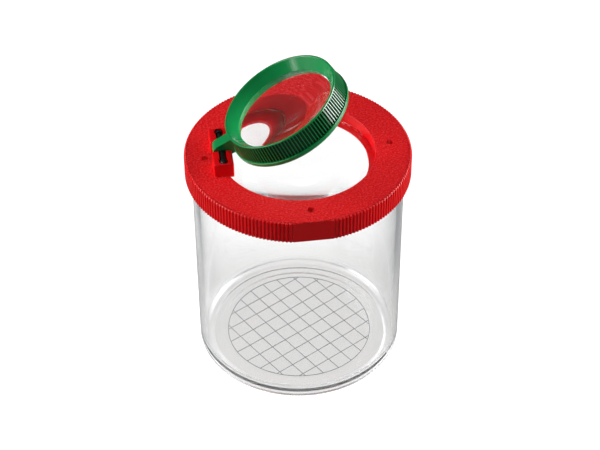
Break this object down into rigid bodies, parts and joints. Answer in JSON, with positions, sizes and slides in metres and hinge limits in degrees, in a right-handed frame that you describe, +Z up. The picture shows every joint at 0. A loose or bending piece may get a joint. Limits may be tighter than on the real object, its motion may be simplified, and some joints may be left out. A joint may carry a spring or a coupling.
{
  "type": "bug catcher jar",
  "caption": "Clear beaker for watching insects, with a measuring grid in its floor, a push-on lid holding a large lens, and a smaller magnifier that swings up from the lid.",
  "frame": {"origin": "middle of the jar's base, on the surface that it stands on", "axes": "+Z up along the jar's axis; the lid's hinge is on the -X side, parallel to Y; the flat of the lid's grip faces -Y"},
  "size_m": [0.0664, 0.0657, 0.0983],
  "materials": {
    "clear_jar": "clear polystyrene, polished",
    "grid_ink": "dark grey printed lines",
    "red_lid": "red, fine satin texture on top, smooth ribs",
    "clear_lens": "clear acrylic, polished",
    "green_ring": "green, glossy",
    "dark_pin": "blackened steel"
  },
  "bodies": {
    "jar": {"jar": "clear_jar", "measuring_grid": "grid_ink"},
    "lid_lens": {"lid_lens": "clear_lens"},
    "lid": {"lid": "red_lid", "hinge_pin": "dark_pin"},
    "swing_magnifier": {"swing_ring": "green_ring", "swing_lens": "clear_lens"}
  },
  "joints": [
    {"name": "lid_lift", "type": "slide", "parent": "jar", "child": "lid_lens", "axis": [0, 0, 1], "range_m": [0, 0.05]},
    {"name": "lid_turn", "type": "hinge", "parent": "lid_lens", "child": "lid", "pos_m": [0, 0, 0.0715], "axis": [0, 0, 1], "continuous": true},
    {"name": "ring_swing", "type": "hinge", "parent": "lid", "child": "swing_magnifier", "pos_m": [-0.0223, 0, 0.0744], "axis": [0, -1, 0], "range_deg": [-28, 122]}
  ]
}
